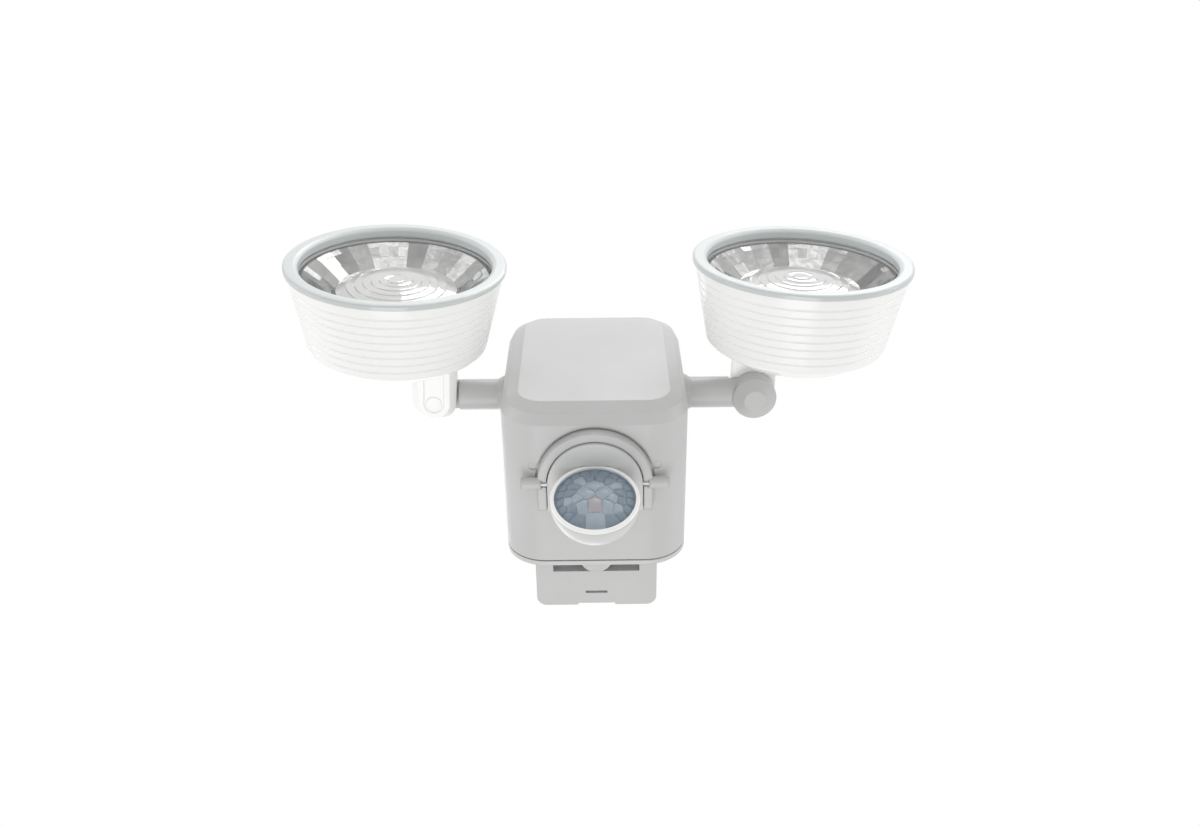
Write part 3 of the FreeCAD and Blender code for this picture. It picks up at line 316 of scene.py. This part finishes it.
def lug_ring(half, level, foot):
    """The lug's outline at one level: a round end about the pivot and straight sides forward."""
    ring = []
    for k in range(LUG_POINTS):
        angle = 2 * math.pi * (k + 0.5) / LUG_POINTS
        across, forward = math.cos(angle), math.sin(angle)
        reach = half if forward < 0 else min(half / max(abs(across), 1e-6), foot / forward)
        ring.append((-LAMP_OFFSET + reach * across, level, reach * forward))
    return ring


# The polished tool leaves a clean gloss, with soft highlights along each groove.
polished_white_abs = moulded("polished_white_abs", WHITE_ABS, "#F6F6F5", 0.24, 1.5, 0.004,
                             0.3, IOR=1.54)
for side in ("left", "right"):
    outline = [(0, SHELL_BACK, 0), (BACK_FLAT, SHELL_BACK, 3), (SHELL_SMALL, CHAMFER_TOP, 3)]
    for number in range(GROOVES):
        height = GROOVE_START + number * GROOVE_PITCH
        for rise, cut in ((-GROOVE_HALF, 0), (0, GROOVE_DEPTH), (GROOVE_HALF, 0)):
            radius = SHELL_SMALL + (height + rise - CHAMFER_TOP) * SHELL_SLOPE - cut
            outline.append((radius, height + rise, 0))
    outline += [(SHELL_RADIUS, SHELL_FRONT, 0.3), (41.2, SHELL_FRONT, 0.2), (34.6, 25.6, 0),
                (BACK_FLAT, BACK_INSIDE, 0), (0, BACK_INSIDE, 0)]
    mesh = bmesh.new()
    turned(mesh, eased(outline))
    foot = SHELL_BACK + LUG_REVEAL
    rings = lofted(mesh, [lug_ring(LUG_WIDE, 0.15, foot), lug_ring(LUG_WIDE, 5.8, foot),
                          lug_ring(LUG_WIDE - 0.2, 6.2, foot),
                          lug_ring(LUG_WIDE - LUG_BEVEL + 0.2, LUG_DEEP - 0.15, foot),
                          lug_ring(LUG_WIDE - LUG_BEVEL, LUG_DEEP, foot),
                          lug_ring(CHANNEL_HALF, LUG_DEEP, foot - 1.4),
                          lug_ring(CHANNEL_HALF - 0.4, LUG_DEEP - 0.4, foot - 1.8)])
    mesh.faces.new(rings[0])
    mesh.faces.new(rings[-1])
    shell = new_piece(side + "_shell", mesh, [polished_white_abs], lamp_place(side),
                      side + "_head_body", 22)
    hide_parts(side + "_head_shell")

    mesh = bmesh.new()
    turned(mesh, eased([(0, -0.4, 0), (SCREW_CAP_RADIUS, -0.4, 0),
                        (SCREW_CAP_RADIUS - 0.2, -0.12, 0.15), (0, -0.12, 0)]), 48)
    cap_place = lamp_place(side) @ Matrix.Translation((-LAMP_OFFSET * MM, LUG_DEEP * MM, 0)) \
        @ Matrix.Rotation(math.radians(-90), 4, "X")
    cap = new_piece(side + "_screw_cap", mesh, [polished_white_abs], cap_place,
                    side + "_head_body")

# ---- Heat sink, board and LED ---------------------------------------------------------------
# Behind the lens: a pressed aluminium disc, a white-masked round board and one LED, whose
# phosphor is a matt yellow square.

# Rolled sheet keeps a soft cloudy shine; the board's mask is smooth; the phosphor is matt.
pressed_aluminium = plated_steel("pressed_aluminium", "#D2D3D5", 0.35, 2.0)
white_masked_board = moulded("white_masked_board", "#E6E6E2", "#DCDCD8", 0.35, 1.0, 0.01,
                             IOR=1.5)
led_phosphor_silicone = moulded("led_phosphor_silicone", "#F2CE57", "#E8BF42", 0.5, 0.4, 0.02,
                                IOR=1.41)
for side in ("left", "right"):
    clothe(pressed_aluminium, side + "_heat_sink")
    clothe(white_masked_board, side + "_led_board")
    clothe(led_phosphor_silicone, side + "_led")

# ---- Reflectors -----------------------------------------------------------------------------
# The mirror round each lens: moulded plastic with vacuum-metallised aluminium, in rows of flat
# facets. Real facets differ only in what they mirror; here each also has a painted reflection
# tone.

# The painted reflection tones go round each mirror from its top as the light hangs, to the right
# first. The low ones in the last row are painted dark reflections, there because the key light
# would show as a white patch.
PAINTED_REFLECTION_TONES = [0.3, 0.62, 0.5, 0.85, 0.4, 0.75, 0.55, 0.9, 0.6, 0.8, 0.95, 0.7, 0.85,
               0.6, 0.35, 0.7, 0.3, 0.2, 0.08, 0.25, 0.05, 0.4, 0.3, 0.45, 0.95, 1.0]
# Each row of facets starts at a radius and height, and has a count and a least share of its
# painted reflection tone.
FACET_ROWS = [(12.6, 27.0, 26, 0.9), (24.6, 44.4, 26, 0.85), (31.6, 49.84, 52, 0.55),
              (35.4, 52.8, 52, 0.7)]
FACET_EDGE = (37.6, 54.0)
FACET_LIFT = 0.3
FACET_SEED = 11
vacuum_metallised_mirror, tree, shader = start_material(
    "vacuum_metallised_mirror", Metallic=1.0, Roughness=0.05)
place = add_node(tree, "ShaderNodeTexCoord").outputs["Object"]
tone = add_node(tree, "ShaderNodeAttribute", attribute_name="painted_reflection_tone")
# A painted ripple of light and dark across the reflections, multiplied into each facet's painted
# tone.
painted_reflection_ripple = add_node(tree, "ShaderNodeTexNoise",
                {"Vector": place, "Scale": 1 / (5 * MM), "Detail": 2.0, "Distortion": 1.5})
cloud = add_node(tree, "ShaderNodeMapRange", {"Value": painted_reflection_ripple.outputs["Fac"], "From Min": 0.35,
                                              "From Max": 0.65, "To Min": 0.72, "To Max": 1.1})
shine = add_node(tree, "ShaderNodeMath", {0: tone.outputs["Fac"], 1: cloud.outputs["Result"]},
                 operation="MULTIPLY")
painted_reflection_tint = add_node(tree, "ShaderNodeMix",
                {"Factor": shine.outputs[0], "A": linear("#3A3A36"), "B": linear("#FAFAF9")},
                data_type="RGBA")
tree.links.new(painted_reflection_tint.outputs["Result"], shader.inputs["Base Color"])

for side in ("left", "right"):
    mesh = bmesh.new()
    random.seed(FACET_SEED)
    reflection_tone_layer = mesh.faces.layers.float.new("painted_reflection_tone")
    turned(mesh, [(12.6, 26.8), (13.8, 26.8), (26.2, 44.6), (38.8, 54.0), (37.6, 54.0)], 72)
    top = 0.75 if side == "left" else 0.25
    edges = [row[:2] for row in FACET_ROWS[1:]] + [FACET_EDGE]
    for (low_r, low_z, count, least), (high_r, high_z) in zip(FACET_ROWS, edges):
        for k in range(count):
            tilt = random.uniform(-0.2, 0.2)
            corners = []
            for radius, height, along in ((low_r + tilt, low_z, 0), (low_r + tilt, low_z, 1),
                                          (high_r - tilt, high_z, 1), (high_r - tilt, high_z, 0)):
                angle = 2 * math.pi * (top + (k + along) / count)
                radius -= FACET_LIFT
                corners.append(mesh.verts.new((radius * MM * math.cos(angle),
                                               radius * MM * math.sin(angle), height * MM)))
            step = (k if side == "right" else -k - 1) * len(PAINTED_REFLECTION_TONES) // count
            facet = mesh.faces.new(corners)
            shine = PAINTED_REFLECTION_TONES[step % len(PAINTED_REFLECTION_TONES)] * random.uniform(least, 1.0)
            # The innermost row gets a brighter painted reflection than the rows further out.
            facet[reflection_tone_layer] = shine if low_z > 40 else 0.75 + 0.2 * shine
    mirror = new_piece(side + "_mirror", mesh, [vacuum_metallised_mirror], lamp_place(side),
                       side + "_head_body", 3)
    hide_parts(side + "_reflector")

# ---- Condenser lenses -----------------------------------------------------------------------
# The thick lens over each LED, a cone of moulded acrylic with a well for the LED below and a
# low dome in front, which has fine steps. A haze makes the acrylic milky, and a clear coat
# stands for the strong reflections inside so thick a lens.

moulded_hazy_acrylic, tree, shader = start_material(
    "moulded_hazy_acrylic", IOR=1.49, Transmission_Weight=0.4, Coat_Weight=1.0, Coat_IOR=1.9)
place = add_node(tree, "ShaderNodeTexCoord").outputs["Object"]
ripple = add_node(tree, "ShaderNodeTexNoise",
                  {"Vector": place, "Scale": 1 / (14 * MM), "Detail": 2.0})
tone = add_node(tree, "ShaderNodeMix",
                {"Factor": ripple.outputs["Fac"], "A": linear("#FFFFFE"), "B": linear("#F7F6F4")},
                data_type="RGBA")
gloss = add_node(tree, "ShaderNodeMapRange",
                 {"Value": ripple.outputs["Fac"], "To Min": 0.02, "To Max": 0.08})
tree.links.new(tone.outputs["Result"], shader.inputs["Base Color"])
tree.links.new(gloss.outputs["Result"], shader.inputs["Roughness"])

LENS_RADIUS = 24.4
# The dome's front is 2.4 mm behind the solid's, and its edge 4.8 mm behind.
LENS_TOP = 52.2
LENS_FALL = 4.2
STEPS = 6
for side in ("left", "right"):
    dome = [(LENS_RADIUS, LENS_TOP - LENS_FALL)]
    for step in range(STEPS, 0, -1):
        radius = 20 * step / STEPS
        level = LENS_TOP - LENS_FALL * (radius / LENS_RADIUS) ** 2
        dome += [(radius + 0.25, level - 0.3), (radius, level + 0.05), (radius - 1.6, level + 0.2)]
    mesh = bmesh.new()
    turned(mesh, [(5.6, 28.4), (9.5, 28.4), (LENS_RADIUS, 46.2)] + dome
           + [(0, LENS_TOP), (0, 33.0), (2.4, 32.8), (4.6, 32.0), (5.6, 28.4)], 128)
    lens = new_piece(side + "_lens", mesh, [moulded_hazy_acrylic], lamp_place(side),
                     side + "_head_body", 12)
    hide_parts(side + "_condenser_lens")

# ---- Lens covers and their seals ------------------------------------------------------------
# The front of each lamp: one polycarbonate moulding, its window polished clear and its thick
# rim frosted by a fine texture. The rim's outer wall is left glossy, and its darker colour is
# painted shade.

polished_polycarbonate, tree, shader = start_material(
    "polished_polycarbonate", Base_Color=linear("#FBFDFC"), Roughness=0.02, IOR=1.58, Alpha=0.1)
place = add_node(tree, "ShaderNodeTexCoord").outputs["Object"]
ripple = add_node(tree, "ShaderNodeTexNoise",
                  {"Vector": place, "Scale": 1 / (20 * MM), "Detail": 0.0})
bump = add_node(tree, "ShaderNodeBump", {"Height": ripple.outputs["Fac"], "Distance": 0.02 * MM})
tree.links.new(bump.outputs["Normal"], shader.inputs["Normal"])

frosted_polycarbonate = moulded("frosted_polycarbonate", "#E9EDED", "#E0E5E5", 0.3, 0.6, 0.01,
                                0.4, IOR=1.58, Transmission_Weight=0.12)
# The rim's outer wall: glossy polycarbonate whose darker colour is painted shade.
glossy_polycarbonate_painted_shade = moulded("glossy_polycarbonate_painted_shade", "#D8DCDC", "#CED2D2", 0.12, 2.0, 0.01,
                               0.3, IOR=1.58, Transmission_Weight=0.1)
# Clear silicone is milky in a thin section.
clear_silicone = moulded("clear_silicone", "#E2E5E5", "#D8DBDB", 0.4, 0.4, 0.01, 0.1, IOR=1.41)
RIM_RADIUS = 44.4
RIM_FRONT = 59.9
WINDOW_RADIUS = 38.6
for side in ("left", "right"):
    mesh = bmesh.new()
    turned(mesh, eased([(RIM_RADIUS - 0.5, RIM_FRONT - 0.3, 0), (RIM_RADIUS - 1, RIM_FRONT, 0.3),
                        (40.2, RIM_FRONT, 0.4), (39.2, 59.3, 0.3), (WINDOW_RADIUS, 58.6, 0),
                        (WINDOW_RADIUS, 56.2, 0)]))
    turned(mesh, eased([(39.0, 55.0, 0), (40.2, 55.0, 0.3), (40.2, 57.6, 0), (43, 57.6, 0)]))
    turned(mesh, eased([(43, 57.6, 0), (RIM_RADIUS, 57.6, 0.3), (RIM_RADIUS, RIM_FRONT - 0.5, 0.4),
                        (RIM_RADIUS - 0.5, RIM_FRONT - 0.3, 0)]), material=2)
    turned(mesh, [(WINDOW_RADIUS, 56.2), (0, 56.2)], material=1)
    turned(mesh, [(0, 55.0), (39.0, 55.0)], material=1)
    bmesh.ops.remove_doubles(mesh, verts=mesh.verts, dist=0.001 * MM)
    finishes = [frosted_polycarbonate, polished_polycarbonate, glossy_polycarbonate_painted_shade]
    cover = new_piece(side + "_window", mesh, finishes, lamp_place(side), side + "_head_body", 40)
    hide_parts(side + "_lens_cover")
    clothe(clear_silicone, side + "_lens_seal")

# ---- Sensor yoke and pins -------------------------------------------------------------------
# Under the case: the half-round band that guards the sensor, moulded with its hinge barrels
# in grey ABS, and the two zinc-plated steel pins that are pressed through the barrels.

# The same plastic as the case with edges rounded wider, so the band looks soft.
rounded_grey_abs = moulded("rounded_grey_abs", GREY_ABS, GREY_ABS_SHADE, 0.36, 0.5, 0.012, 1.1,
                           IOR=1.54)
clothe(rounded_grey_abs, "sensor_yoke")
clothe(zinc_plated_steel, "pivot_pins")

# ---- Sensor base, cup and lens ring ---------------------------------------------------------
# The hinged base and the round cup that hangs from it, moulded in a greyer white ABS than the
# lamps and polished less, so they shine softly. The thin ring that holds the lens is whiter.

moulded_pale_abs = moulded("moulded_pale_abs", "#D2D3D2", "#CBCCCB", 0.33, 0.8, 0.008, 0.3,
                           IOR=1.54)
clothe(moulded_pale_abs, "sensor_base", "sensor_cup")
clothe(polished_white_abs, "lens_ring")

# ---- Fresnel lens ---------------------------------------------------------------------------
# The thin domed lens of the motion sensor: milky polyethylene, pressed into cells that each
# gather the view from one direction. It looks blue-grey, and paler or warmer in the middle.
# A thin band at its edge is darker as painted shade.

SENSOR_CENTRE = (0, -73.2, -66.5)
LENS_DOWN = 15.6
DOME_EDGE = 15.7
DOME_RIM = -0.1
DOME_CURVE = 32.8
# Each row of cells has a count, a radius and how far its centre stands from the lens's own.
CELL_ROWS = [(22, 13.6, 0.0), (16, 10.4, -0.2), (11, 6.9, -0.6)]
CELL_GAP = 4.4
LOWEST_CELL = (6.3, -6.5)
EDGE_BAND = 0.45


def pressed_polyethylene(name, colour, shade):
    """Polyethylene between milky and clear: light goes a little way in, ridges show fine."""
    material, tree, shader = start_material(name, Roughness=0.33, IOR=1.51)
    place = add_node(tree, "ShaderNodeTexCoord").outputs["Object"]
    cloud = add_node(tree, "ShaderNodeTexNoise",
                     {"Vector": place, "Scale": 1 / (3 * MM), "Detail": 2.0})
    tone = add_node(tree, "ShaderNodeMix",
                    {"Factor": cloud.outputs["Fac"], "A": linear(colour), "B": linear(shade)},
                    data_type="RGBA")
    # The ridges are 0.2 mm apart; they are drawn at 0.5 mm so that they show.
    ridge = add_node(tree, "ShaderNodeTexWave", {"Vector": place, "Scale": 1 / (10 * MM)},
                     wave_type="RINGS", rings_direction="Z")
    bump = add_node(tree, "ShaderNodeBump",
                    {"Height": ridge.outputs["Fac"], "Distance": 0.02 * MM})
    tree.links.new(tone.outputs["Result"], shader.inputs["Base Color"])
    tree.links.new(bump.outputs["Normal"], shader.inputs["Normal"])
    return material


cell_blue = pressed_polyethylene("pressed_polyethylene_blue", "#8896A3", "#7A8996")
cell_pale = pressed_polyethylene("pressed_polyethylene_pale", "#A6B1BB", "#98A5B0")
cell_warm = pressed_polyethylene("pressed_polyethylene_warm", "#B0ACAF", "#A5A3A7")
# The edge band's darker blue is painted shade for the groove round the lens.
cell_edge_painted_shade = pressed_polyethylene("pressed_polyethylene_edge_painted_shade", "#8391A0", "#778694")

sensor_place = Matrix.Translation(Vector(SENSOR_CENTRE) * MM) \
    @ Matrix.Rotation(math.radians(90 + LENS_DOWN), 4, "X")
MIDDLE_CELLS = [(0.0, -5.0, 2), (0.2, -11.6, 1), (-3.6, 0.6, 1), (3.8, 0.8, 1), (0.2, 4.6, 1)]
cells = list(MIDDLE_CELLS)
for row, (count, reach, drop) in enumerate(CELL_ROWS):
    for k in range(count):
        angle = 2 * math.pi * (k + 0.5 * row) / count + math.pi / 2
        x, y = reach * math.cos(angle), drop + reach * math.sin(angle)
        beside_lowest = abs(x) < LOWEST_CELL[0] and y < LOWEST_CELL[1]
        gap = min(math.hypot(x - cx, (y - cy) * 1.4) for cx, cy, tone in MIDDLE_CELLS)
        if gap < CELL_GAP or beside_lowest:
            continue
        cells.append((x, y, 1 if row == 2 or (row == 1 and k % 3 == 1) else 0))

mesh = bmesh.new()
AROUND = 240
DEEP = 60
grid = []
tones = {}
for step in range(DEEP + 1):
    radius = DOME_EDGE * step / DEEP
    ring = []
    for k in range(AROUND if step else 1):
        x = radius * math.cos(2 * math.pi * k / AROUND)
        y = radius * math.sin(2 * math.pi * k / AROUND)
        near = sorted(((x - cx) ** 2 + (y - cy) ** 2, tone) for cx, cy, tone in cells)[:2]
        inside = math.sqrt(near[0][0])
        to_edge = (near[1][0] - near[0][0]) / (2 * max(inside + math.sqrt(near[1][0]), 0.1))
        swell = 0.45 * (1 - min(inside / 2.6, 1) ** 2) - 0.35 * math.exp(-(to_edge / 0.22) ** 2)
        height = DOME_RIM + 4 - DOME_CURVE + math.sqrt(DOME_CURVE ** 2 - radius ** 2)
        settle = min(1, (DOME_EDGE - radius) / 0.6)
        vert = mesh.verts.new((x * MM, y * MM, (height + settle * (swell - 0.5)) * MM))
        # Points within EDGE_BAND of the rim take the darker edge material, which is painted shade.
        tones[vert] = near[0][1] if radius < DOME_EDGE - EDGE_BAND else 3
        ring.append(vert)
    grid.append(ring)
grid.append([mesh.verts.new((v.co.x, v.co.y, v.co.z - 0.7 * MM)) for v in grid[-1]])
for low, high in zip(grid, grid[1:]):
    for k in range(AROUND):
        corners = list(dict.fromkeys([low[k % len(low)], low[(k + 1) % len(low)],
                                      high[(k + 1) % len(high)], high[k % len(high)]]))
        face = mesh.faces.new(corners)
        face.material_index = tones.get(corners[0], 0)
fresnel = new_piece("fresnel_cells", mesh, [cell_blue, cell_pale, cell_warm, cell_edge_painted_shade],
                    sensor_place, "sensor_body", 60)
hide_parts("fresnel_lens")

# ---- Sensor board and detector --------------------------------------------------------------
# Inside the cup: a small round glass-epoxy board with the detector in its drawn steel can.

# Steel drawn into a can has a warm, nearly mirror-like shine.
drawn_steel_can = plated_steel("drawn_steel_can", "#C9C6BC", 0.28, 1.5)
clothe(glass_epoxy_board, "sensor_board")
clothe(drawn_steel_can, "pyro_sensor")

# ---- Floor, light and camera ----------------------------------------------------------------
# A plain pale floor well below the light, a soft even studio, and the photograph's view from
# below and in front of the light.

painted_floor, tree, shader = start_material("painted_floor", Roughness=0.8)
place = add_node(tree, "ShaderNodeTexCoord").outputs["Object"]
mottle = add_node(tree, "ShaderNodeTexNoise", {"Vector": place, "Scale": 8.0, "Detail": 4.0})
tone = add_node(tree, "ShaderNodeMix",
                {"Factor": mottle.outputs["Fac"], "A": linear("#EDEDEC"), "B": linear("#E8E8E7")},
                data_type="RGBA")
tree.links.new(tone.outputs["Result"], shader.inputs["Base Color"])
mesh = bmesh.new()
bmesh.ops.create_grid(mesh, x_segments=4, y_segments=4, size=4)
data = bpy.data.meshes.new("floor")
mesh.to_mesh(data)
mesh.free()
data.materials.append(painted_floor)
floor = bpy.data.objects.new("floor", data)
floor.location = (0, 0, -1.3)
bpy.context.scene.collection.objects.link(floor)

world = bpy.data.worlds.new("studio")
bpy.context.scene.world = world
world.use_nodes = True
tree = world.node_tree
background = tree.nodes["Background"]
ray = add_node(tree, "ShaderNodeLightPath")
seen = add_node(tree, "ShaderNodeMath", {0: ray.outputs["Is Camera Ray"],
                                         1: ray.outputs["Is Glossy Ray"]}, operation="MAXIMUM")
seen = add_node(tree, "ShaderNodeMath", {0: seen.outputs[0],
                                         1: ray.outputs["Is Transmission Ray"]},
                operation="MAXIMUM")
level = add_node(tree, "ShaderNodeMapRange", {"Value": seen.outputs[0], "To Min": 0.7,
                                              "To Max": 1.0})
tree.links.new(level.outputs["Result"], background.inputs["Strength"])
background.inputs["Color"].default_value = (1, 1, 1, 1)


def softbox(name, at, aim, size, watts):
    """A square soft lamp that points from one place to another."""
    lamp = bpy.data.lights.new(name, "AREA")
    lamp.size = size
    lamp.energy = watts
    lantern = bpy.data.objects.new(name, lamp)
    lantern.location = at
    lantern.rotation_euler = (Vector(aim) - Vector(at)).to_track_quat("-Z", "Y").to_euler()
    bpy.context.scene.collection.objects.link(lantern)


softbox("key_light", (0.3, -1.0, 1.0), (0, -0.08, 0), 0.9, 8.2)
softbox("under_light", (-0.1, 0.4, -1.1), (0, -0.08, 0), 0.7, 3.7)
softbox("left_light", (-1.2, -0.4, 0.1), (0, -0.08, 0), 0.7, 3)
softbox("right_light", (1.2, -0.4, 0.1), (0, -0.08, 0), 0.7, 3)
softbox("back_light", (-0.3, 0.9, 0.8), (0, -0.05, 0), 0.9, 4)

CAMERA_AT = (0.0023, -0.3167, -0.4409)
CAMERA_RISE = 61.2
CAMERA_ROLL = -0.64
camera = bpy.data.cameras.new("camera")
camera.lens = 35.04
camera.sensor_width = 36
camera.clip_start = 0.01
watcher = bpy.data.objects.new("camera", camera)
watcher.matrix_world = Matrix.Translation(CAMERA_AT) \
    @ Matrix.Rotation(math.radians(90 + CAMERA_RISE), 4, "X") \
    @ Matrix.Rotation(math.radians(CAMERA_ROLL), 4, "Z")
bpy.context.scene.collection.objects.link(watcher)
bpy.context.scene.camera = watcher
bpy.context.scene.view_settings.view_transform = "Standard"
